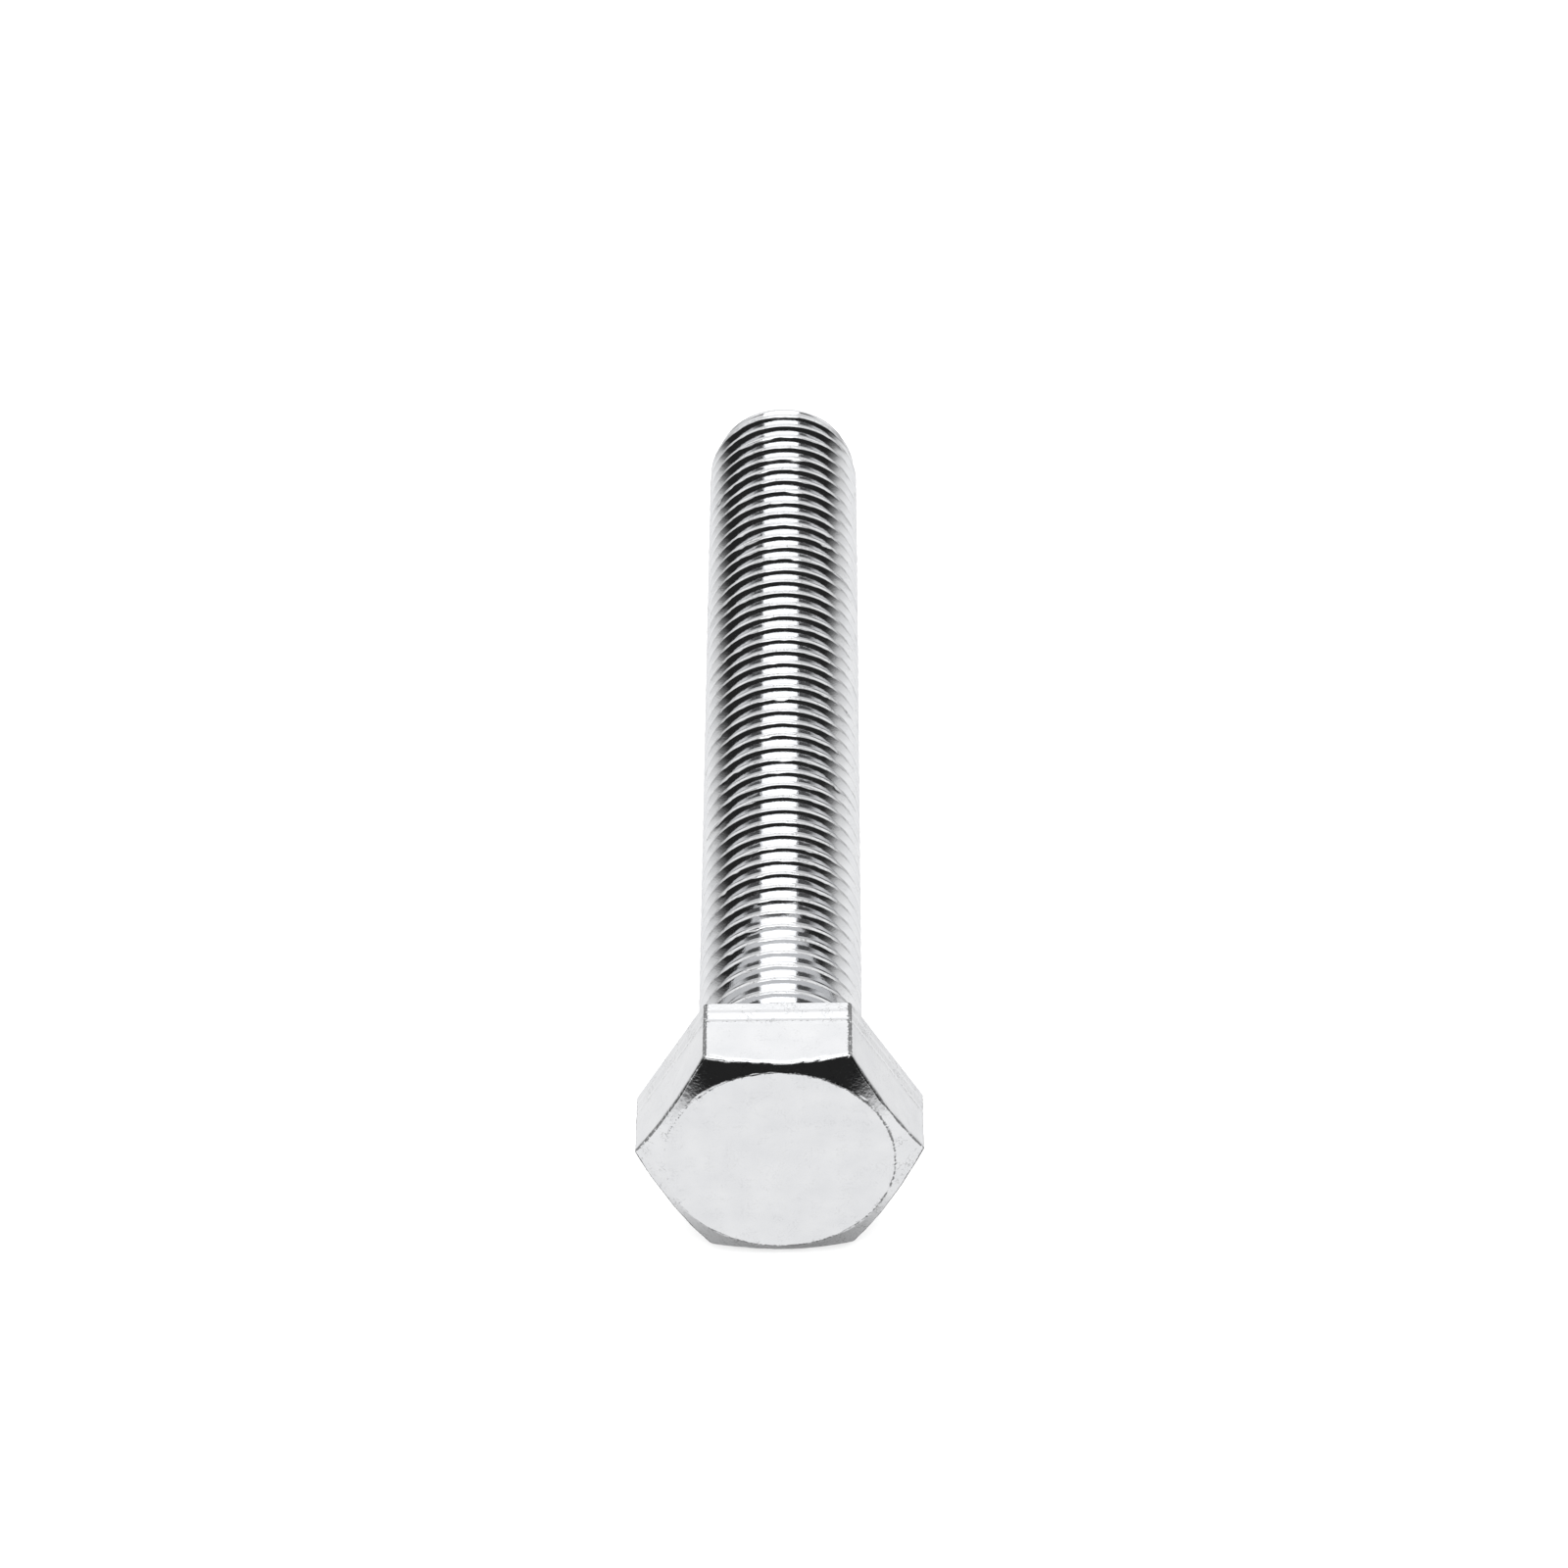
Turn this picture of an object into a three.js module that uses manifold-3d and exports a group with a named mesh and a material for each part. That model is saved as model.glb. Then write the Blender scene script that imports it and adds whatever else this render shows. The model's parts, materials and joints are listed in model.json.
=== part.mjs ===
// A hexagon-head bolt, M20 x 2.5 x 130, threaded right up to the head. Sizes are in millimetres.
//
// The bolt lies along +Y: the centre of the head's flat top is the origin, and the tip is at the
// far end of +Y. +Z is up, so that two of the head's flats face up and down and two of its
// corners point along X. The bolt is one piece of steel, headed and rolled from one blank.

import * as THREE from "three";
import { mergeVertices } from "three/addons/utils/BufferGeometryUtils.js";
import Module from "manifold-3d";

// Driving dimensions
const PITCH = 2.5;
const CREST_RADIUS = 9.97; // rolled just under the nominal 20 mm diameter
const SHANK_LENGTH = 129.5; // from the bearing face to the tip, nominally 130
const ACROSS_FLATS = 30;
const HEAD_HEIGHT = 12.3; // from the top face to the bearing face, nominally 12.5
const WASHER_FACE_HEIGHT = 0.8; // the round step under the hexagon
const WASHER_FACE_RADIUS = 14;

// The head's top chamfer, and the band near the bearing side where the flats lean in
const TOP_CIRCLE_RADIUS = 13.8;
const CHAMFER_ANGLE = THREE.MathUtils.degToRad(28);
const BAND_HEIGHT = 2.3;
const BAND_LEAN = 0.15; // how far each flat leans in at the bearing side

// The thread's profile: a flat crest, 60 degree flanks and a narrow root
const CREST_WIDTH = PITCH / 8;
const THREAD_DEPTH = 0.6134 * PITCH;
const FLANK_WIDTH = THREAD_DEPTH * Math.tan(THREE.MathUtils.degToRad(30));
const ROOT_RADIUS = CREST_RADIUS - THREAD_DEPTH;
const STEPS_PER_TURN = 16;
const CREST_Y = 11.72; // where the middle of a crest crosses the bolt's upper side

// The plain neck between the head and the first full thread, and the tip's chamfer
const NECK_RADIUS = 9.2; // the diameter of the blank, which is the thread's pitch diameter
const NECK_LENGTH = 1.2;
const RUN_OUT_LENGTH = 3.2; // over which the thread rises from the neck to its full height
const FILLET_RADIUS = 0.8;
const FILLET_STEPS = 4;
const TIP_RADIUS = 9;

const ROUND_STEPS = 48;
const SINK = 1; // how far one solid reaches into its neighbour where they are joined
const HEX_HEIGHT = HEAD_HEIGHT - WASHER_FACE_HEIGHT;
const TIP_Y = HEAD_HEIGHT + SHANK_LENGTH;

const wasm = await Module();
wasm.setup();

// Turns a closed geometry into a solid, leaving out the triangles that shrink to nothing on the axis.
function solidFrom(geometry) {
  geometry.deleteAttribute("normal");
  geometry.deleteAttribute("uv");
  const merged = mergeVertices(geometry);
  const corners = merged.index.array;
  const triVerts = [];
  for (let i = 0; i < corners.length; i += 3) {
    const [a, b, c] = corners.slice(i, i + 3);
    if (a !== b && b !== c && c !== a) triVerts.push(a, b, c);
  }
  const mesh = new wasm.Mesh({
    numProp: 3,
    vertProperties: merged.attributes.position.array,
    triVerts: new Uint32Array(triVerts),
  });
  return new wasm.Manifold(mesh);
}

// A solid turned about the bolt's axis from [radius, y] corners that start and end on the axis.
function turned(outline, steps = ROUND_STEPS) {
  const points = outline.map(([radius, y]) => new THREE.Vector2(radius, y));
  const firstCorner = Math.PI / 2; // on +X
  return solidFrom(new THREE.LatheGeometry(points, steps, firstCorner));
}

// The hexagon, with flats that lean in a little near the bearing side.
function hexagon() {
  const cornerRadius = ACROSS_FLATS / Math.sqrt(3);
  const bandRadius = (ACROSS_FLATS - 2 * BAND_LEAN) / Math.sqrt(3);
  const outline = [
    [0, 0],
    [cornerRadius, 0],
    [cornerRadius, HEX_HEIGHT - BAND_HEIGHT],
    [bandRadius, HEX_HEIGHT],
    [0, HEX_HEIGHT],
  ];
  return turned(outline, 6);
}

// The cone that cuts the hexagon's top corners and leaves a round flat top.
function topCone() {
  const outerRadius = ACROSS_FLATS;
  return turned([
    [0, 0],
    [TOP_CIRCLE_RADIUS, 0],
    [outerRadius, (outerRadius - TOP_CIRCLE_RADIUS) * Math.tan(CHAMFER_ANGLE)],
    [outerRadius, HEAD_HEIGHT],
    [0, HEAD_HEIGHT],
  ]);
}

// The washer face, the fillet under the head and the plain neck, ending inside the thread.
function washerFaceAndNeck() {
  const fillet = [];
  for (let i = 0; i <= FILLET_STEPS; i += 1) {
    const turn = (i / FILLET_STEPS) * (Math.PI / 2);
    fillet.push([
      NECK_RADIUS + FILLET_RADIUS * (1 - Math.sin(turn)),
      HEAD_HEIGHT + FILLET_RADIUS * (1 - Math.cos(turn)),
    ]);
  }
  const neckEnd = HEAD_HEIGHT + NECK_LENGTH;
  return turned([
    [0, HEX_HEIGHT - SINK],
    [WASHER_FACE_RADIUS, HEX_HEIGHT - SINK],
    [WASHER_FACE_RADIUS, HEAD_HEIGHT],
    ...fillet,
    [NECK_RADIUS, neckEnd],
    [ROOT_RADIUS - 0.2, neckEnd + RUN_OUT_LENGTH],
    [0, neckEnd + RUN_OUT_LENGTH],
  ]);
}

// One turn of the thread's outline, as [radius, distance along the axis] corners.
const THREAD_OUTLINE = [
  [CREST_RADIUS, 0],
  [CREST_RADIUS, CREST_WIDTH],
  [ROOT_RADIUS, CREST_WIDTH + FLANK_WIDTH],
  [ROOT_RADIUS, PITCH - FLANK_WIDTH],
];

// A right-hand thread that runs past both ends of the shank. Each column of points is the outline
// repeated along the axis, and it lies a step further along than the column before it, so the
// column that closes the turn meets the first one a whole pitch along.
function threadedRod() {
  const perPitch = THREAD_OUTLINE.length;
  const turns = Math.ceil(SHANK_LENGTH / PITCH) + 4;
  const startY = CREST_Y - CREST_WIDTH / 2 - PITCH;
  const perColumn = turns * perPitch + 1;
  const positions = [];
  for (let column = 0; column < STEPS_PER_TURN; column += 1) {
    const turn = (column / STEPS_PER_TURN) * 2 * Math.PI;
    for (let i = 0; i < perColumn; i += 1) {
      const [radius, along] = THREAD_OUTLINE[i % perPitch];
      const pitches = Math.floor(i / perPitch) + column / STEPS_PER_TURN;
      positions.push(radius * Math.sin(turn), startY + along + pitches * PITCH, radius * Math.cos(turn));
    }
  }
  const lowEnd = positions.push(0, startY, 0) / 3 - 1;
  const highEnd = positions.push(0, startY + (turns + 1) * PITCH, 0) / 3 - 1;

  // Column STEPS_PER_TURN is the first column again, one pitch further along.
  const point = (column, i) =>
    column < STEPS_PER_TURN ? column * perColumn + i : i + perPitch;
  const triangles = [];
  for (let column = 0; column < STEPS_PER_TURN; column += 1) {
    const lastColumn = column === STEPS_PER_TURN - 1;
    const rows = lastColumn ? perColumn - 1 - perPitch : perColumn - 1;
    for (let i = 0; i < rows; i += 1) {
      const here = point(column, i);
      const beside = point(column + 1, i);
      triangles.push(here, beside, here + 1, beside, beside + 1, here + 1);
    }
    triangles.push(lowEnd, point(column + 1, 0), point(column, 0));
    const top = lastColumn ? rows : perColumn - 1;
    triangles.push(highEnd, point(column, top), point(column + 1, top));
  }
  // The step of one pitch that the thread's start and end leave, closed towards the axis.
  for (let i = 0; i < perPitch; i += 1) {
    triangles.push(lowEnd, i, i + 1);
    const end = point(STEPS_PER_TURN - 1, perColumn - 1 - perPitch + i);
    triangles.push(highEnd, end + 1, end);
  }
  const geometry = new THREE.BufferGeometry();
  geometry.setAttribute("position", new THREE.Float32BufferAttribute(positions, 3));
  geometry.setIndex(triangles);
  return solidFrom(geometry);
}

// What is left of the thread: it fades into the neck at the head and has a chamfer at the tip.
function threadEnvelope() {
  const clearRadius = CREST_RADIUS + 0.5;
  const neckEnd = HEAD_HEIGHT + NECK_LENGTH;
  return turned([
    [0, HEX_HEIGHT],
    [NECK_RADIUS - 0.2, HEX_HEIGHT],
    [NECK_RADIUS - 0.2, neckEnd],
    [clearRadius, neckEnd + RUN_OUT_LENGTH],
    [clearRadius, TIP_Y - (clearRadius - TIP_RADIUS)],
    [TIP_RADIUS, TIP_Y],
    [0, TIP_Y],
  ], 2 * STEPS_PER_TURN);
}

function boltGeometry() {
  const head = hexagon().intersect(topCone());
  const shank = threadedRod().intersect(threadEnvelope());
  const { vertProperties, triVerts } = head.add(washerFaceAndNeck()).add(shank).getMesh();
  const geometry = new THREE.BufferGeometry();
  geometry.setAttribute("position", new THREE.BufferAttribute(vertProperties, 3));
  geometry.setIndex(new THREE.BufferAttribute(triVerts, 1));
  geometry.computeVertexNormals();
  return geometry;
}

// Bright zinc plating on steel
const brightZinc = new THREE.MeshStandardMaterial({
  color: 0xc9ccd0,
  roughness: 0.22,
  metalness: 1,
});

const bolt = new THREE.Mesh(boltGeometry(), brightZinc);
bolt.name = "hex_bolt";

const part = new THREE.Group();
part.add(bolt);

export default part;
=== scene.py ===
"""A hex bolt, bright zinc-plated steel, lying on a pale floor in soft studio light.

The bolt lies along +Y with the centre of its head's top at the origin, and +Z is up. Sizes are in
millimetres, and a mesh is scaled to metres when it is made. Round places on the bolt are given by
a turn in radians, which is 0 at the top of the bolt and grows towards +X.
"""

import json
import math

import bpy
import numpy as np
from mathutils import Matrix, Vector


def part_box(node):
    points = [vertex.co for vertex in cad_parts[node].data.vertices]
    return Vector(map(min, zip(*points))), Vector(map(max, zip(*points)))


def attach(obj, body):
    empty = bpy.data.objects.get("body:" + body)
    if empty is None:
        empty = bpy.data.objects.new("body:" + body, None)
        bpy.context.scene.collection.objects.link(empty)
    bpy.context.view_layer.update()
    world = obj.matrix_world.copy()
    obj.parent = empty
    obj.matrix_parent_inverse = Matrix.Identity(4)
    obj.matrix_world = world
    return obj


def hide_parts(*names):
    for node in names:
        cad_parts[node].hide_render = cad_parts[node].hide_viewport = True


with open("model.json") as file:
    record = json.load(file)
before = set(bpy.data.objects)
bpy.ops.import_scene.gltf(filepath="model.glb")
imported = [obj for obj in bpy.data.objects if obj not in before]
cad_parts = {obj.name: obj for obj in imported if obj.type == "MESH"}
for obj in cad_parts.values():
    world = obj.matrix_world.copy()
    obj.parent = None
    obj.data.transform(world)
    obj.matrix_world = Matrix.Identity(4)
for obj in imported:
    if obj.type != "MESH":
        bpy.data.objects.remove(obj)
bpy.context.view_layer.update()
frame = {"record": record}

NODE = "hex_bolt"
MM = 0.001
low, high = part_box(NODE)
mount_y = {m["name"]: m["pos_m"][1] / MM for m in frame["record"]["mounts"]}

# ---------------------------------------------------------------- sizes taken from the frame
ACROSS_FLATS = (high.z - low.z) / MM
BEARING_Y = mount_y["bearing_face"]
TIP_Y = mount_y["tip_end"]

# ---------------------------------------------------------------- the head
WASHER_FACE_HEIGHT = 0.8
WASHER_FACE_RADIUS = 13.95
HEX_HEIGHT = BEARING_Y - WASHER_FACE_HEIGHT
TOP_CIRCLE_RADIUS = 13.8
CHAMFER_SLOPE = math.tan(math.radians(28))
CORNER_ROUNDING = 0.55
EDGE_ROUNDING = 0.18
GROOVE_DEPTH = 0.1  # of the torn line where the chamfer's cut leaves the flat top
BAND_LENGTH = 3.0  # the trimming die has rubbed the flats over this length, near the bearing side
BAND_START_Y = HEX_HEIGHT - BAND_LENGTH - 0.3
UNDER_ROUNDING = 0.35
FILLET_RADIUS = 0.8

# ---------------------------------------------------------------- the thread
PITCH = 2.5
CREST_RADIUS = 9.97
CREST_Y = 11.69  # where the middle of a crest crosses the bolt's upper side
CREST_WIDTH = 0.5
CREST_ROUNDING = 0.09
FLANK_ANGLE = math.radians(26.7)  # the standard says 30; a guess, chosen for the light on the flanks
ROOT_ROUNDING = 0.6
FLANK_STEP = 0.4
WORN_DEPTH = 0.045
NICK_DEPTH = 0.28
CREST_BLEND = 0.08  # how softly the run-out and the tip cut the crests
NECK_RADIUS = 9.2
NECK_LENGTH = 1.2
RUN_OUT_LENGTH = 3.2
TIP_RADIUS = 9.03
TIP_TAPER = 0.1
TIP_LENGTH = 1.0  # over this length the rolling has left the tip almost plain

SHANK_COLUMNS = 92
HEAD_COLUMNS = 3 * SHANK_COLUMNS
CORNER_COLUMNS = 8  # of the head's columns, those that go round each corner of the hexagon

random = np.random.default_rng(20)


def smooth_noise(count, smoothing):
    """Random numbers round a closed loop, evened out over some steps, between about -1 and 1."""
    reach = np.arange(-3 * smoothing, 3 * smoothing + 1)
    weights = np.exp(-0.5 * (reach / smoothing) ** 2)
    raw = random.standard_normal(count)
    padded = np.concatenate([raw[-len(reach):], raw, raw[: len(reach)]])
    even = np.convolve(padded, weights, "same")[len(reach) : len(reach) + count]
    return even / np.abs(even).max()


class Surface:
    """A mesh put together from rings of points, each joined to the ring before it.

    Each point has a wear value, 1 on edges and crests that knocks and thick plating have roughened.
    The material also darkens the colour where it is high, which is dirt on the edges and painted shade
    in the torn groove round the head's top.
    """

    def __init__(self):
        self.points = []
        self.wear = []
        self.faces = []

    def add_points(self, positions, wear=0.0):
        first = len(self.points)
        self.points.extend(map(tuple, positions))
        self.wear.extend(np.broadcast_to(wear, len(positions)))
        return list(range(first, len(self.points)))

    def add_face(self, corners):
        """Leaves out repeated corners, so that a quad may shrink to a triangle or to nothing."""
        kept = [c for i, c in enumerate(corners) if c != corners[i - 1]]
        if len(kept) > 2:
            self.faces.append(kept)

    def join(self, ring, following):
        """Quads between two rings with the same number of points."""
        for i in range(len(ring)):
            before = i - 1
            self.add_face([ring[before], ring[i], following[i], following[before]])

    def join_three_to_one(self, fine, coarse):
        """A ring with three times the points of the next one: a fan of four triangles a step."""
        for i in range(len(coarse)):
            a, b, c, d = (fine[(3 * i + k) % len(fine)] for k in range(4))
            near, far = coarse[i], coarse[(i + 1) % len(coarse)]
            self.add_face([a, b, near])
            self.add_face([b, c, far, near])
            self.add_face([c, d, far])

    def close(self, ring, position):
        """A fan from a ring to a point on the axis."""
        centre = self.add_points([position])[0]
        for i in range(len(ring)):
            self.add_face([ring[i - 1], ring[i], centre])


def around(turns, radii, y):
    """Points at these turns and radii, at one place or several along the axis."""
    y = np.broadcast_to(y, np.shape(turns))
    return np.stack([radii * np.sin(turns), y, radii * np.cos(turns)], axis=-1)


# ---------------------------------------------------------------- the head's surface
def hexagon_outline():
    """Turns, radii and closeness to a corner round the hexagon, whose corners are rounded."""
    per_side = HEAD_COLUMNS // 6
    on_flat = per_side - CORNER_COLUMNS
    half = ACROSS_FLATS / 2
    half_flat = (half - CORNER_ROUNDING) * math.tan(math.pi / 6)
    xs, zs, corner = [], [], []
    for side in range(6):
        turn = side * math.pi / 3
        along = np.linspace(-half_flat, half_flat, on_flat + 1)
        bend = np.linspace(0, math.pi / 3, CORNER_COLUMNS + 1)[1:-1]
        corner_u = half_flat + CORNER_ROUNDING * np.sin(bend)
        corner_v = half - CORNER_ROUNDING + CORNER_ROUNDING * np.cos(bend)
        u = np.concatenate([along, corner_u])
        v = np.concatenate([np.full(on_flat + 1, half), corner_v])
        xs.append(v * math.sin(turn) + u * math.cos(turn))
        zs.append(v * math.cos(turn) - u * math.sin(turn))
        corner.append(np.clip((np.abs(u) - half_flat + 0.1) / 0.15, 0, 1))
    x, z = np.concatenate(xs), np.concatenate(zs)
    turns = np.unwrap(np.arctan2(x, z))
    return turns, np.hypot(x, z), np.concatenate(corner)


def faces_up(hex_turns):
    """True on the top one of the six flats."""
    return np.cos(hex_turns) > math.cos(math.pi / 6)


def band_offset(distance):
    """How far the flats lie inside the nominal hexagon, by distance past the start of the band."""
    return np.interp(distance, [-0.2, 0.25, 1.4, 1.9, BAND_LENGTH], [0, 0.09, 0.01, 0.055, 0.01])


def top_rings(turns):
    """The flat top, the torn groove round it, and the start of the chamfer."""
    for radius in (4, 8, 11, 12.6, 13.2):
        yield around(turns, radius, 0), 0
    wander = 0.07 * smooth_noise(HEAD_COLUMNS, 1) + 0.05 * smooth_noise(HEAD_COLUMNS, 4)
    depth = GROOVE_DEPTH * (0.5 + 0.5 * smooth_noise(HEAD_COLUMNS, 1))
    # how torn the groove is along its turn; the material darkens the colour by it, which is painted
    # shade in the groove
    torn = 0.8 + 0.15 * np.sin(turns)
    torn += 0.25 * smooth_noise(HEAD_COLUMNS, 1) + 0.2 * smooth_noise(HEAD_COLUMNS, 8)
    groove = ((-0.22, 0, 0.4), (-0.1, 0.1, 0.8), (-0.02, 1, 1), (0.07, 0.9, 0.8))
    for offset, depth_share, torn_share in groove:
        radii = TOP_CIRCLE_RADIUS + offset + wander
        yield around(turns, radii, depth_share * depth), torn_share * torn
    offset = 0.2
    yield around(turns, TOP_CIRCLE_RADIUS + offset, offset * CHAMFER_SLOPE), 0.5


def chamfer_rings(even_turns, hex_turns, hex_radii, edge_y, rounding):
    """The cone from the top's circle out to the hexagon, and the rounded edge to the flats."""
    inner = TOP_CIRCLE_RADIUS + 0.32
    for share in (0, 0.15, 0.35, 0.6, 0.8, 0.93):
        turns = even_turns + (0.15 + 0.85 * share) * (hex_turns - even_turns)
        radii = inner + share * (hex_radii - rounding - inner)
        wear = 0.43 + 0.1 * smooth_noise(HEAD_COLUMNS, 1)
        yield around(turns, radii, (radii - TOP_CIRCLE_RADIUS) * CHAMFER_SLOPE), wear
    for t in (0, 0.25, 0.5, 0.75, 1):
        inward = rounding * (1 - t) ** 2
        down = rounding * CHAMFER_SLOPE * (1 - t) ** 2 - rounding * t**2
        wear = np.where(faces_up(hex_turns), 0.55, 1)
        yield around(hex_turns, hex_radii - inward, edge_y - down), wear


def flat_rings(hex_turns, hex_radii, corner, start_y):
    """The six flats down to the rubbed band, with knocked corners and a dented front lip."""
    end_y = BAND_START_Y - 0.3
    for place in (0.06, 0.14, 0.28, 0.5, *np.arange(1, 9) * 0.95):
        share = place / 8.2
        dent = 0.08 * math.exp(-place / 0.25) * (smooth_noise(HEAD_COLUMNS, 0.7) - 1)
        knock = 0.035 * corner * (smooth_noise(HEAD_COLUMNS, 1) - 1)
        wear = np.maximum(corner, 0.6 * math.exp(-place / 0.25))
        yield around(hex_turns, hex_radii + dent + knock, start_y + share * (end_y - start_y)), wear
    wander = 0.07 * smooth_noise(HEAD_COLUMNS, 2)
    band_depth = np.where(faces_up(hex_turns), 1, 0.4)
    ridge = np.array([-0.08, 0, 0.08])
    ridges = [*(0.25 + ridge), 0.8, *(1.4 + ridge), *(1.9 + ridge)]
    for distance in (-0.2, -0.12, *ridges, 2.45, BAND_LENGTH):
        y = BAND_START_Y + distance + wander * (1 - distance / BAND_LENGTH)
        knock = 0.035 * corner * (smooth_noise(HEAD_COLUMNS, 1) - 1)
        wear = np.maximum(corner, 0.6 if distance < 0 else 0.3)
        yield around(hex_turns, hex_radii - band_depth * band_offset(distance) + knock, y), wear
    lean = band_depth * band_offset(BAND_LENGTH)
    chips = 0.08 * (smooth_noise(HEAD_COLUMNS, 1) - 1)
    for bend in np.linspace(0.2, 1, 4) * math.pi / 2:
        radii = hex_radii - lean - UNDER_ROUNDING * (1 - math.cos(bend)) + chips
        yield around(hex_turns, radii, HEX_HEIGHT - UNDER_ROUNDING * (1 - math.sin(bend))), 0.7


def bearing_rings(turns):
    """The hexagon's underside, the washer face's step and the bearing face."""
    steps = [(0.15, HEX_HEIGHT), (0.03, HEX_HEIGHT + 0.03), (0, HEX_HEIGHT + 0.15)]
    steps += [(0, BEARING_Y - 0.15), (-0.04, BEARING_Y - 0.04), (-0.15, BEARING_Y)]
    for offset, y in steps:
        yield around(turns, WASHER_FACE_RADIUS + offset, y), 0.2
    for radius in (12.5, 11.2, NECK_RADIUS + FILLET_RADIUS + 0.1):
        yield around(turns, radius, BEARING_Y), 0


def head_surface(surface):
    """Rings from the middle of the head's top, over the chamfer and flats, to the bearing face."""
    hex_turns, hex_radii, corner = hexagon_outline()
    even_turns = hex_turns[0] + np.arange(HEAD_COLUMNS) * 2 * math.pi / HEAD_COLUMNS
    rounding = EDGE_ROUNDING * (1 + 0.7 * smooth_noise(HEAD_COLUMNS, 2))
    ragged = 0.2 * smooth_noise(HEAD_COLUMNS, 0.7) + 0.12 * smooth_noise(HEAD_COLUMNS, 3)
    ragged *= np.where(faces_up(hex_turns), 1, 0.3)
    edge_y = (hex_radii - TOP_CIRCLE_RADIUS) * CHAMFER_SLOPE + ragged
    rings = [
        *top_rings(even_turns),
        *chamfer_rings(even_turns, hex_turns, hex_radii, edge_y, rounding),
        *flat_rings(hex_turns, hex_radii, corner, edge_y + rounding),
        *bearing_rings(even_turns),
    ]
    before = surface.add_points(*rings[0])
    surface.close(before[::-1], (0, 0, 0))
    for positions, wear in rings[1:]:
        ring = surface.add_points(positions, wear)
        surface.join(before, ring)
        before = ring
    return before, even_turns[::3]


# ---------------------------------------------------------------- the shank's surface
def thread_profile():
    """One pitch of the thread from the middle of a crest: places along the axis, and radii."""
    bend = np.array([0, math.pi / 2 - FLANK_ANGLE])
    tangent = CREST_ROUNDING * math.tan(bend[-1] / 2)
    corner_y = CREST_WIDTH / 2 - tangent + CREST_ROUNDING * np.sin(bend)
    corner_depth = CREST_ROUNDING * (1 - np.cos(bend))

    # a point part way down the flank lets the tip's chamfer cut it cleanly
    flank_depth = corner_depth[-1:] + FLANK_STEP
    flank_y = corner_y[-1:] + FLANK_STEP * math.tan(FLANK_ANGLE)

    bend = np.linspace(math.pi / 2 - FLANK_ANGLE, 0, 5)
    root_y = PITCH / 2 - ROOT_ROUNDING * np.sin(bend)
    apex_depth = (PITCH - CREST_WIDTH) / 2 / math.tan(FLANK_ANGLE)
    root_depth = apex_depth - ROOT_ROUNDING / math.sin(FLANK_ANGLE) + ROOT_ROUNDING * np.cos(bend)

    y = np.concatenate([corner_y, flank_y, root_y])
    r = CREST_RADIUS - np.concatenate([corner_depth, flank_depth, root_depth])
    return np.concatenate([y, PITCH - y[-2::-1]]), np.concatenate([r, r[-2::-1]])


def softer_min(a, b, blend):
    """The lower of two values, with the corner between them rounded."""
    share = np.clip(0.5 + 0.5 * (b - a) / blend, 0, 1)
    return b + (a - b) * share - blend * share * (1 - share)


def trimmed_radius(y, radius):
    """The thread's radius with its run-out at the neck, its plain tip and the chamfer behind it."""
    neck_end = BEARING_Y + NECK_LENGTH
    run_out = NECK_RADIUS - 0.3 + (y - neck_end) * (CREST_RADIUS - NECK_RADIUS + 0.6) / RUN_OUT_LENGTH
    from_tip = TIP_Y - y
    tip = TIP_RADIUS + TIP_TAPER * from_tip + np.maximum(from_tip - TIP_LENGTH, 0)
    limit = np.minimum(run_out, tip) + 0.02
    core = np.interp(y, [neck_end, neck_end + RUN_OUT_LENGTH], [NECK_RADIUS, NECK_RADIUS - 0.9])
    return np.maximum(softer_min(radius, limit, CREST_BLEND), core)


def missing_crest(crest_y):
    """How much of a crest's height the rolling left unfilled, which it did on the last two turns."""
    return np.interp(TIP_Y - crest_y, [2, 2.6, 4], [0.36, 0.1, 0])


def thread_columns(turns, first_pitch, pitches):
    """Each column of points is the profile repeated along the axis. A turn later it has moved on by
    one pitch, so the column after the last would be the first one again, a whole profile on."""
    profile_y, profile_r = thread_profile()
    per_pitch = len(profile_y)
    index = np.arange(pitches * per_pitch)
    place = index % per_pitch
    y_in_pitch, radius = profile_y[place], profile_r[place]
    crest = np.clip(1 - (CREST_RADIUS - radius) / WORN_DEPTH, 0, 1)
    after_crest = place < per_pitch // 2
    crest_edge = (place == 1) | (place == per_pitch - 2)
    on_crest = (crest > 0) | crest_edge
    steps = SHANK_COLUMNS * (pitches + 1)
    height = 0.01 * (smooth_noise(steps, 1) - 1)
    nicks = NICK_DEPTH * np.clip(smooth_noise(steps, 0.7), 0, 1) * (1 + smooth_noise(steps, 12))
    for c, turn in enumerate(turns):
        start = CREST_Y + turn / (2 * math.pi) * PITCH + (first_pitch + index // per_pitch) * PITCH
        along_helix = ((index + per_pitch // 2) // per_pitch) * SHANK_COLUMNS + c
        # a lowered crest or a nick in its edge takes the edge down the flank, which stays flat
        lowered = on_crest * missing_crest(start + np.where(after_crest, 0, PITCH))
        lowered = np.minimum(lowered + crest_edge * nicks[along_helix], FLANK_STEP)
        sideways = np.where(after_crest, 1, -1) * lowered * math.tan(FLANK_ANGLE)
        radii = radius + crest * height[along_helix] - lowered
        yield start + y_in_pitch + sideways, radii, 0.5 * crest


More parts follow.
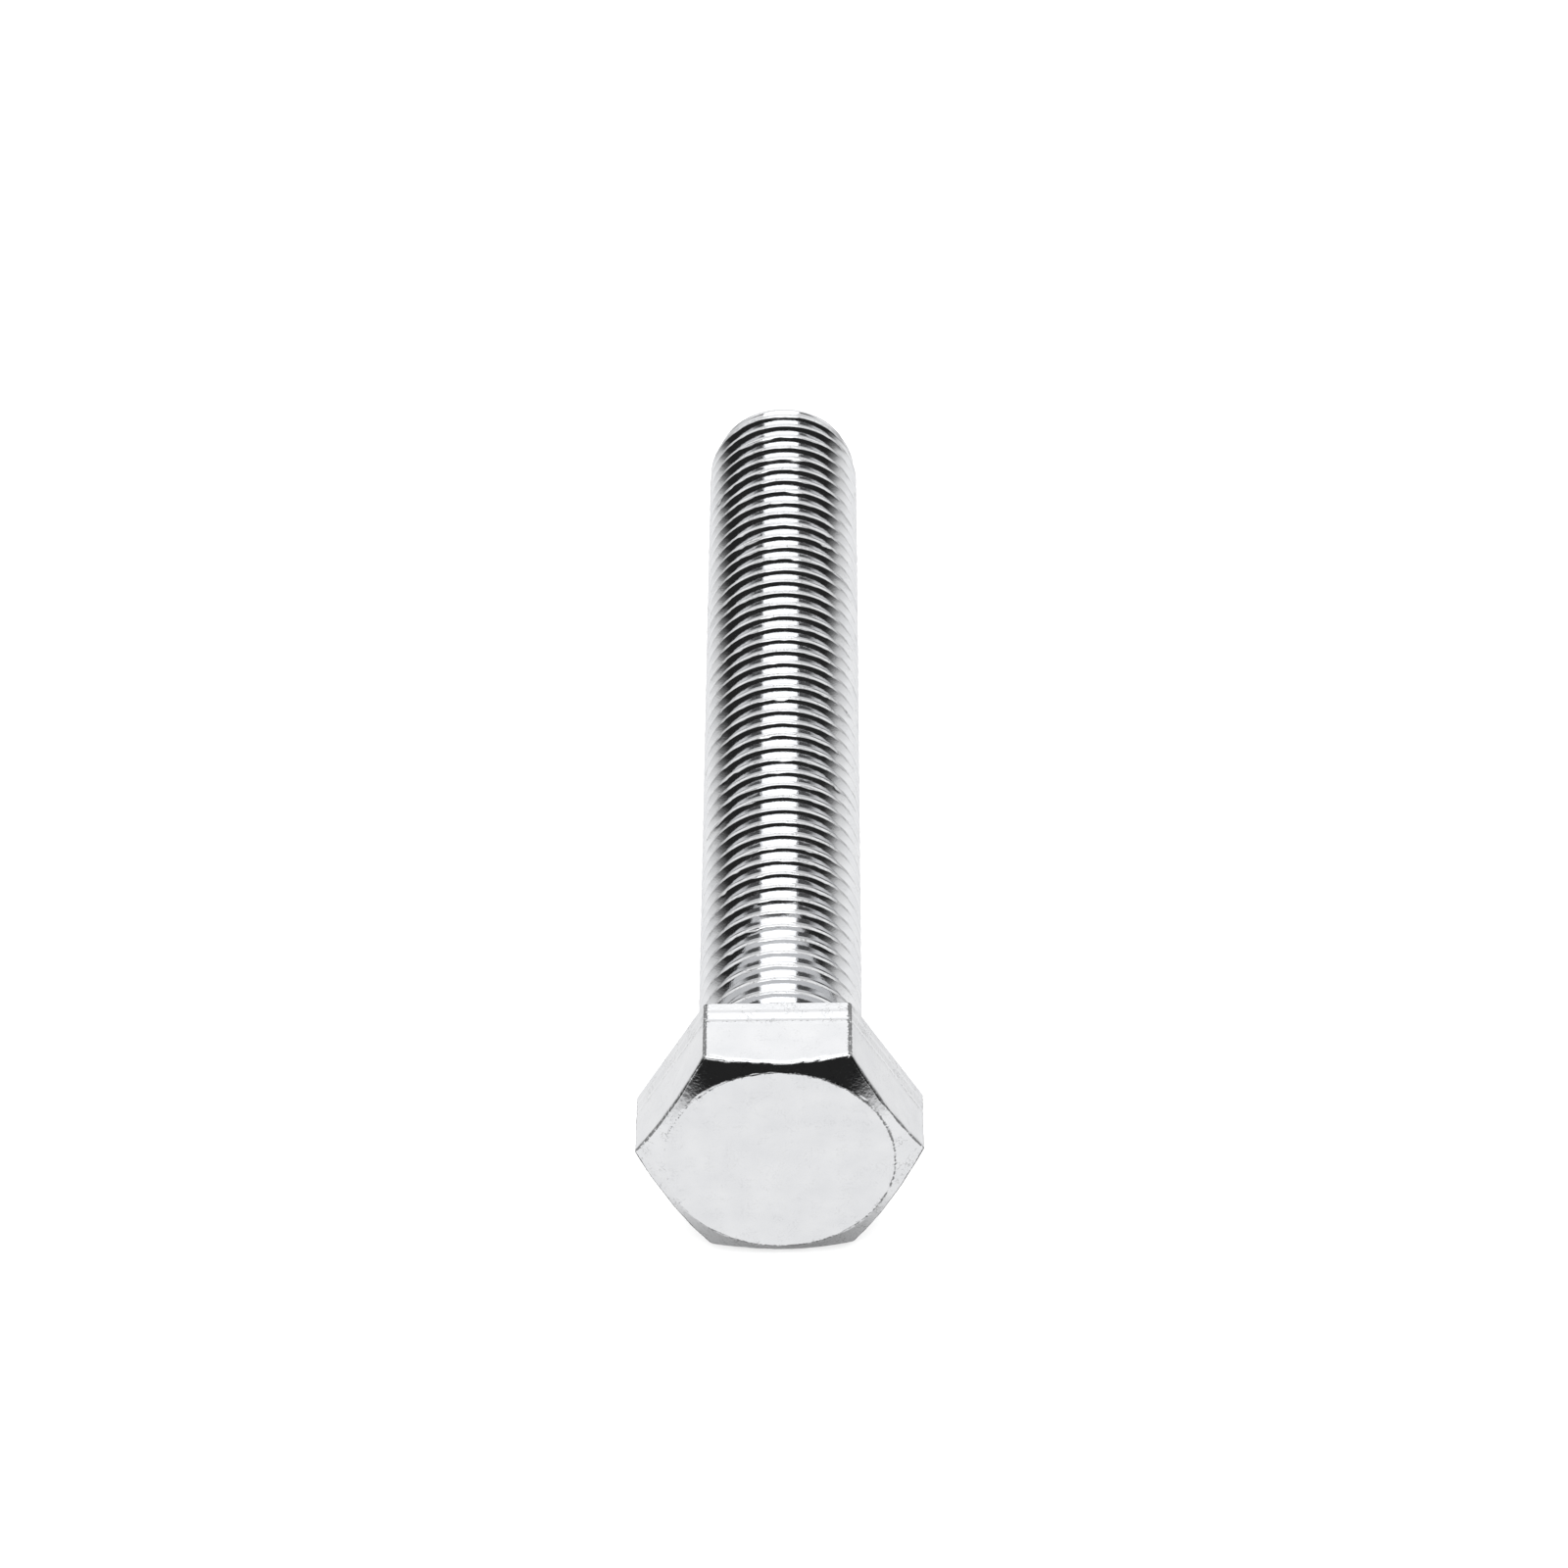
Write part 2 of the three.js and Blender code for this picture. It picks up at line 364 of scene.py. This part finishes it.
def shank_surface(surface, ring_before, turns):
    """The fillet, the neck and the rolled thread, from the head's last ring to the ring where the end
    face starts.
    """
    for bend in np.linspace(0, math.pi / 2, 5):
        radius = NECK_RADIUS + FILLET_RADIUS * (1 - math.sin(bend))
        y = BEARING_Y + FILLET_RADIUS * (1 - math.cos(bend))
        ring = surface.add_points(around(turns, radius, y))
        if bend == 0:
            surface.join_three_to_one(ring_before, ring)
        else:
            surface.join(before, ring)
        before = ring
    start_y = BEARING_Y + NECK_LENGTH * 0.9
    end_y = TIP_Y - 0.05
    start_ring = surface.add_points(around(turns, NECK_RADIUS, start_y))
    surface.join(before, start_ring)

    first_pitch = math.floor((start_y - CREST_Y) / PITCH) - 2
    pitches = math.ceil((TIP_Y - CREST_Y) / PITCH) - first_pitch + 1
    columns, end_ring = [], []
    for c, (y, r, wear) in enumerate(thread_columns(turns, first_pitch, pitches)):
        trimmed = trimmed_radius(y, r)
        end_radius = np.interp(end_y, y, trimmed)
        end_point = surface.add_points([around(turns[c], end_radius, end_y)], 0.5)[0]
        end_ring.append(end_point)
        inside = (y > start_y) & (y < end_y)
        positions = around(np.full(inside.sum(), turns[c]), trimmed[inside], y[inside])
        new = iter(surface.add_points(positions, wear[inside]))
        column = [start_ring[c] if v <= start_y else end_point if v >= end_y else next(new) for v in y]
        columns.append(column)
    per_pitch = len(columns[0]) // pitches
    for c in range(SHANK_COLUMNS):
        column = columns[c]
        beside = columns[(c + 1) % SHANK_COLUMNS]
        if c == SHANK_COLUMNS - 1:
            beside = beside[per_pitch:] + [end_ring[0]] * per_pitch
        for i in range(len(column) - 1):
            surface.add_face([column[i], beside[i], beside[i + 1], column[i + 1]])
    return end_ring


def end_face(surface, ring, turns):
    """The flat end of the shank, with the shallow dish that rolling the thread leaves."""
    edge = np.array([surface.points[i] for i in ring])
    edge_radii = np.hypot(edge[:, 0], edge[:, 2])
    for inset, y in ((0.06, TIP_Y), (0.5, TIP_Y), (2.5, TIP_Y - 0.04)):
        following = surface.add_points(around(turns, edge_radii - inset, y))
        surface.join(ring, following)
        ring = following
    for radius, depth in ((4.5, 0.12), (3, 0.2), (1.5, 0.24)):
        following = surface.add_points(around(turns, radius, TIP_Y - depth))
        surface.join(ring, following)
        ring = following
    surface.close(ring, (0, TIP_Y - 0.25, 0))


def shade_flat_places_flat(mesh):
    """Vertex normals that follow the largest faces beside them, so only the roundings look round."""
    normals = np.empty((len(mesh.polygons), 3))
    mesh.polygons.foreach_get("normal", normals.ravel())
    areas = np.empty(len(mesh.polygons))
    mesh.polygons.foreach_get("area", areas)
    corner_counts = np.empty(len(mesh.polygons), dtype=int)
    mesh.polygons.foreach_get("loop_total", corner_counts)
    vertices = np.empty(len(mesh.loops), dtype=int)
    mesh.loops.foreach_get("vertex_index", vertices)
    pull = normals * ((areas / MM**2) ** 3)[:, None]
    sums = np.zeros((len(mesh.vertices), 3))
    np.add.at(sums, vertices, np.repeat(pull, corner_counts, axis=0))
    mesh.normals_split_custom_set_from_vertices(sums / np.linalg.norm(sums, axis=1, keepdims=True))


def make_bolt(material):
    surface = Surface()
    last_ring, turns = head_surface(surface)
    end_ring = shank_surface(surface, last_ring, turns)
    end_face(surface, end_ring, turns)
    mesh = bpy.data.meshes.new("bolt_visual")
    mesh.from_pydata((np.array(surface.points) * MM).tolist(), [], surface.faces)
    wear = mesh.attributes.new("wear", "FLOAT", "POINT")
    wear.data.foreach_set("value", surface.wear)
    mesh.shade_smooth()
    shade_flat_places_flat(mesh)
    mesh.materials.append(material)
    bolt = bpy.data.objects.new("bolt_visual", mesh)
    bpy.context.scene.collection.objects.link(bolt)
    return bolt


# ---------------------------------------------------------------- materials
def new_material(name):
    material = bpy.data.materials.new(name)
    material.use_nodes = True
    nodes = material.node_tree.nodes
    return material, nodes, material.node_tree.links, nodes["Principled BSDF"]


def zinc_material():
    """Bright zinc plating: mirror-like, with a fine grain, pits, hairline scratches and worn edges,
    and colour darkened on worn places: dirt on knocked edges and corners, and painted shade in the
    torn groove round the head's top.
    """
    material, nodes, links, shader = new_material("bright_zinc")
    shader.inputs["Metallic"].default_value = 1

    place = nodes.new("ShaderNodeMapping")
    place.inputs["Scale"].default_value = (1 / MM, 1 / MM, 1 / MM)  # texture scales are per millimetre
    links.new(nodes.new("ShaderNodeTexCoord").outputs["Object"], place.inputs["Vector"])
    wear = nodes.new("ShaderNodeAttribute")
    wear.attribute_name = "wear"
    wear = wear.outputs["Fac"]

    def noise(scale, detail=2.0):
        texture = nodes.new("ShaderNodeTexNoise")
        texture.inputs["Scale"].default_value = scale
        texture.inputs["Detail"].default_value = detail
        links.new(place.outputs["Vector"], texture.inputs["Vector"])
        return texture.outputs["Fac"]

    def remap(value, low_in, high_in, low_out, high_out):
        node = nodes.new("ShaderNodeMapRange")
        for socket, number in zip(node.inputs[1:5], (low_in, high_in, low_out, high_out)):
            socket.default_value = number
        links.new(value, node.inputs["Value"])
        return node.outputs["Result"]

    def combine(operation, a, b):
        node = nodes.new("ShaderNodeMath")
        node.operation = operation
        for socket, value in zip(node.inputs, (a, b)):
            if isinstance(value, (int, float)):
                socket.default_value = value
            else:
                links.new(value, socket)
        return node.outputs["Value"]

    def bump(height, depth_mm, previous=None):
        node = nodes.new("ShaderNodeBump")
        node.inputs["Distance"].default_value = depth_mm * MM
        links.new(height, node.inputs["Height"])
        if previous:
            links.new(previous, node.inputs["Normal"])
        return node.outputs["Normal"]

    tone = nodes.new("ShaderNodeValToRGB")
    darker, lighter = tone.color_ramp.elements
    darker.position, darker.color = 0.3, (0.76, 0.768, 0.785, 1)
    lighter.position, lighter.color = 0.7, (0.82, 0.826, 0.838, 1)
    links.new(noise(0.26, 4), tone.inputs["Fac"])

    # darker colour where noise meets high wear: dirt on knocked edges and corners, and painted shade
    # in the torn groove round the head's top
    dirt_and_groove_shade = remap(combine("MULTIPLY", noise(3.2, 2), wear), 0.3, 0.45, 0, 0.7)
    # thin wavy marks: contour lines of a noise, kept in some places only and strongest on worn ones
    contour = combine("ABSOLUTE", combine("SUBTRACT", noise(1.3, 3), 0.5), 0)
    marks = combine("MULTIPLY", remap(contour, 0, 0.02, 1, 0), remap(noise(0.45), 0.48, 0.58, 0, 1))
    marks = combine("MULTIPLY", marks, remap(wear, 0.1, 0.45, 0.1, 0.6))
    dirt_and_groove_shade = combine("MAXIMUM", dirt_and_groove_shade, marks)
    clean = nodes.new("ShaderNodeVectorMath")
    clean.operation = "SCALE"
    links.new(tone.outputs["Color"], clean.inputs["Vector"])
    links.new(combine("SUBTRACT", 1, dirt_and_groove_shade), clean.inputs["Scale"])
    links.new(clean.outputs["Vector"], shader.inputs["Base Color"])

    y = nodes.new("ShaderNodeSeparateXYZ")
    links.new(place.outputs["Vector"], y.inputs["Vector"])
    y = y.outputs["Y"]
    under_head = combine(
        "MULTIPLY",
        remap(y, HEX_HEIGHT - 0.1, HEX_HEIGHT, 0, 1),
        remap(y, BEARING_Y + 0.1, BEARING_Y + 0.4, 1, 0),
    )
    smooth = remap(noise(0.9, 3), 0.3, 0.7, 0.05, 0.1)
    links.new(combine("ADD", smooth, combine("MULTIPLY", under_head, 0.4)), shader.inputs["Roughness"])

    grain = bump(noise(4.5, 3), 0.004)
    torn = bump(combine("MULTIPLY", noise(2.6, 2), wear), 0.045, grain)
    links.new(torn, shader.inputs["Normal"])
    return material


def floor_material():
    """A white sweep of paper with a barely visible tooth."""
    material, nodes, links, shader = new_material("white_paper")
    shader.inputs["Base Color"].default_value = (0.6, 0.6, 0.6, 1)
    shader.inputs["Roughness"].default_value = 0.9
    shader.inputs["Specular IOR Level"].default_value = 0.1
    texture = nodes.new("ShaderNodeTexNoise")
    texture.inputs["Scale"].default_value = 1500
    bump = nodes.new("ShaderNodeBump")
    bump.inputs["Strength"].default_value = 0.05
    bump.inputs["Distance"].default_value = 0.0001
    links.new(nodes.new("ShaderNodeTexCoord").outputs["Object"], texture.inputs["Vector"])
    links.new(texture.outputs["Fac"], bump.inputs["Height"])
    links.new(bump.outputs["Normal"], shader.inputs["Normal"])
    return material


# ---------------------------------------------------------------- the floor and the light
def stage_plane(name, corners, material):
    mesh = bpy.data.meshes.new(name)
    mesh.from_pydata(corners, [], [(0, 1, 2, 3)])
    mesh.materials.append(material)
    plane = bpy.data.objects.new(name, mesh)
    bpy.context.scene.collection.objects.link(plane)
    return plane


def floor_height(y):
    """The floor's height in metres at y. It touches the head's lower flat and the tip's thread."""
    touch_head = (BAND_START_Y * MM, -ACROSS_FLATS / 2 * MM)
    touch_tip = ((TIP_Y - 2) * MM, -CREST_RADIUS * MM)
    slope = (touch_tip[1] - touch_head[1]) / (touch_tip[0] - touch_head[0])
    return touch_head[1] + slope * (y - touch_head[0])


def make_floor():
    reach = 6  # metres, far past the edges of the picture
    corners = [
        (-reach, -reach, floor_height(-reach)),
        (reach, -reach, floor_height(-reach)),
        (reach, reach, floor_height(reach)),
        (-reach, reach, floor_height(reach)),
    ]
    floor = stage_plane("floor", corners, floor_material())
    floor.visible_glossy = False


# What the bolt reflects: brightness by elevation in degrees, where white paper is near 1. The studio
# is the same on the left and on the right. Azimuth is 0 behind the bolt's tip.
# The floor is hidden from the bolt's reflections, so the world stands in for it there, with the bolt's
# shadow below it painted in as darker brightness towards straight down.
TABLE = [(-85, 0.2), (-75, 0.5), (-60, 0.95)]  # painted shadow of the bolt on the paper just below it
SCREEN = TABLE + [(-20, 0.95), (-10, 0.5), (0, 0.65), (15, 1.0)]  # darker where it meets the table
BACKDROP = SCREEN + [(35, 0.85)]
CORNER = SCREEN + [(30, 1.0), (45, 0.1)]  # where the backdrop and a side wall leave a gap above
SIDE_WALL = TABLE + [(-10, 0.8), (5, 0.55), (30, 0.8), (60, 1.1)]
DARK_ROOM = TABLE + [(-20, 1.0), (-10, 0.7), (-5, 0.2), (0, 0.02), (20, 0.02), (30, 0.6)]
EDGE_SOFTNESS = 5  # of the upright edges between them, in degrees of azimuth
SECTORS = [  # the azimuth where each begins, and what stands there
    (-30, BACKDROP),
    (30, CORNER),
    (70, SIDE_WALL),
    (115, DARK_ROOM),
    (-115, SIDE_WALL),
    (-70, CORNER),
]
STRIP = [(15, 0.9), (45, 1.15), (60, 1.9)]
STRIP_HALF_WIDTH = 0.45  # sideways reach of the overhead strip for each unit of height
STRIP_EDGE = 0.03
STRIP_LENGTH = 1.5  # its reach towards the camera for each unit of height
BRIGHTEST = 2.0


def make_world():
    """A bright strip overhead, a white backdrop and sides, and a dark room in front."""
    world = bpy.data.worlds.new("light_tent")
    world.use_nodes = True
    nodes, links = world.node_tree.nodes, world.node_tree.links

    def math_node(operation, *values):
        node = nodes.new("ShaderNodeMath")
        node.operation = operation
        for socket, value in zip(node.inputs, values):
            if isinstance(value, (int, float)):
                socket.default_value = value
            else:
                links.new(value, socket)
        return node.outputs["Value"]

    def rise(value, start, full):
        """0 before start and 1 past full, with a smooth rise between them."""
        node = nodes.new("ShaderNodeMapRange")
        node.interpolation_type = "SMOOTHSTEP"
        node.inputs["From Min"].default_value = start
        node.inputs["From Max"].default_value = full
        links.new(value, node.inputs["Value"])
        return node.outputs["Result"]

    def by_elevation(share, stops):
        ramp = nodes.new("ShaderNodeValToRGB")
        elements = ramp.color_ramp.elements
        while len(elements) < len(stops):
            elements.new(1)
        for element, (angle, brightness) in zip(elements, stops):
            element.position = (angle + 90) / 180
            element.color = [brightness / BRIGHTEST] * 3 + [1]
        links.new(share, ramp.inputs["Fac"])
        return ramp.outputs["Color"]

    direction = nodes.new("ShaderNodeSeparateXYZ")
    links.new(nodes.new("ShaderNodeTexCoord").outputs["Generated"], direction.inputs["Vector"])
    x, y, z = direction.outputs
    elevation = math_node("MULTIPLY", math_node("ARCSINE", z), 180 / math.pi)
    share = math_node("DIVIDE", math_node("ADD", elevation, 90), 180)
    azimuth = math_node("MULTIPLY", math_node("ARCTAN2", x, y), 180 / math.pi)

    brightness = 0
    for (start, stops), (end, _) in zip(SECTORS, SECTORS[1:] + SECTORS[:1]):
        inside = math_node(
            "MULTIPLY" if start < end else "ADD",
            rise(azimuth, start - EDGE_SOFTNESS, start + EDGE_SOFTNESS),
            rise(azimuth, end + EDGE_SOFTNESS, end - EDGE_SOFTNESS),
        )
        part = math_node("MULTIPLY", by_elevation(share, stops), inside)
        brightness = math_node("ADD", part, brightness)

    height = math_node("MAXIMUM", z, 0.001)
    sideways = math_node("DIVIDE", math_node("ABSOLUTE", x), height)
    forward = math_node("DIVIDE", math_node("MULTIPLY", y, -1), height)
    strip = math_node(
        "MULTIPLY",
        rise(sideways, STRIP_HALF_WIDTH + STRIP_EDGE, STRIP_HALF_WIDTH - STRIP_EDGE),
        rise(forward, STRIP_LENGTH, 0.8 * STRIP_LENGTH),
    )
    missing = math_node("SUBTRACT", by_elevation(share, STRIP), brightness)
    brightness = math_node("ADD", brightness, math_node("MULTIPLY", missing, strip))

    background = nodes["Background"]
    background.inputs["Strength"].default_value = BRIGHTEST
    links.new(brightness, background.inputs["Color"])
    bpy.context.scene.world = world


def make_lights():
    """The tent, and a lamp without shadows that makes the floor white."""
    make_world()
    sun = bpy.data.lights.new("room_light", "SUN")
    sun.energy = 5.2
    sun.angle = math.radians(120)
    sun.use_shadow = False
    lamp = bpy.data.objects.new("room_light", sun)
    lamp.visible_glossy = False
    bpy.context.scene.collection.objects.link(lamp)


# ---------------------------------------------------------------- the camera
def make_camera():
    """A long lens above the head's end of the bolt, aimed at the middle of it."""
    aim = Vector((0.3, 71.5, 0)) * MM
    distance = 780 * MM
    azimuth, elevation, roll = (math.radians(a) for a in (1, 38.7, -1.3))
    data = bpy.data.cameras.new("camera")
    data.sensor_width = 36
    data.lens = 140
    camera = bpy.data.objects.new("camera", data)
    back = Vector((
        math.sin(azimuth) * math.cos(elevation),
        -math.cos(azimuth) * math.cos(elevation),
        math.sin(elevation),
    ))
    camera.rotation_mode = "QUATERNION"
    camera.location = aim + back * distance
    upright = (-back).to_track_quat("-Z", "Y")
    camera.rotation_quaternion = upright @ Matrix.Rotation(roll, 3, "Z").to_quaternion()
    bpy.context.scene.collection.objects.link(camera)
    bpy.context.scene.camera = camera


make_camera()
make_floor()
make_lights()
bolt = make_bolt(zinc_material())
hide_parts(NODE)
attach(bolt, "root")
bpy.context.scene.view_settings.view_transform = "Standard"
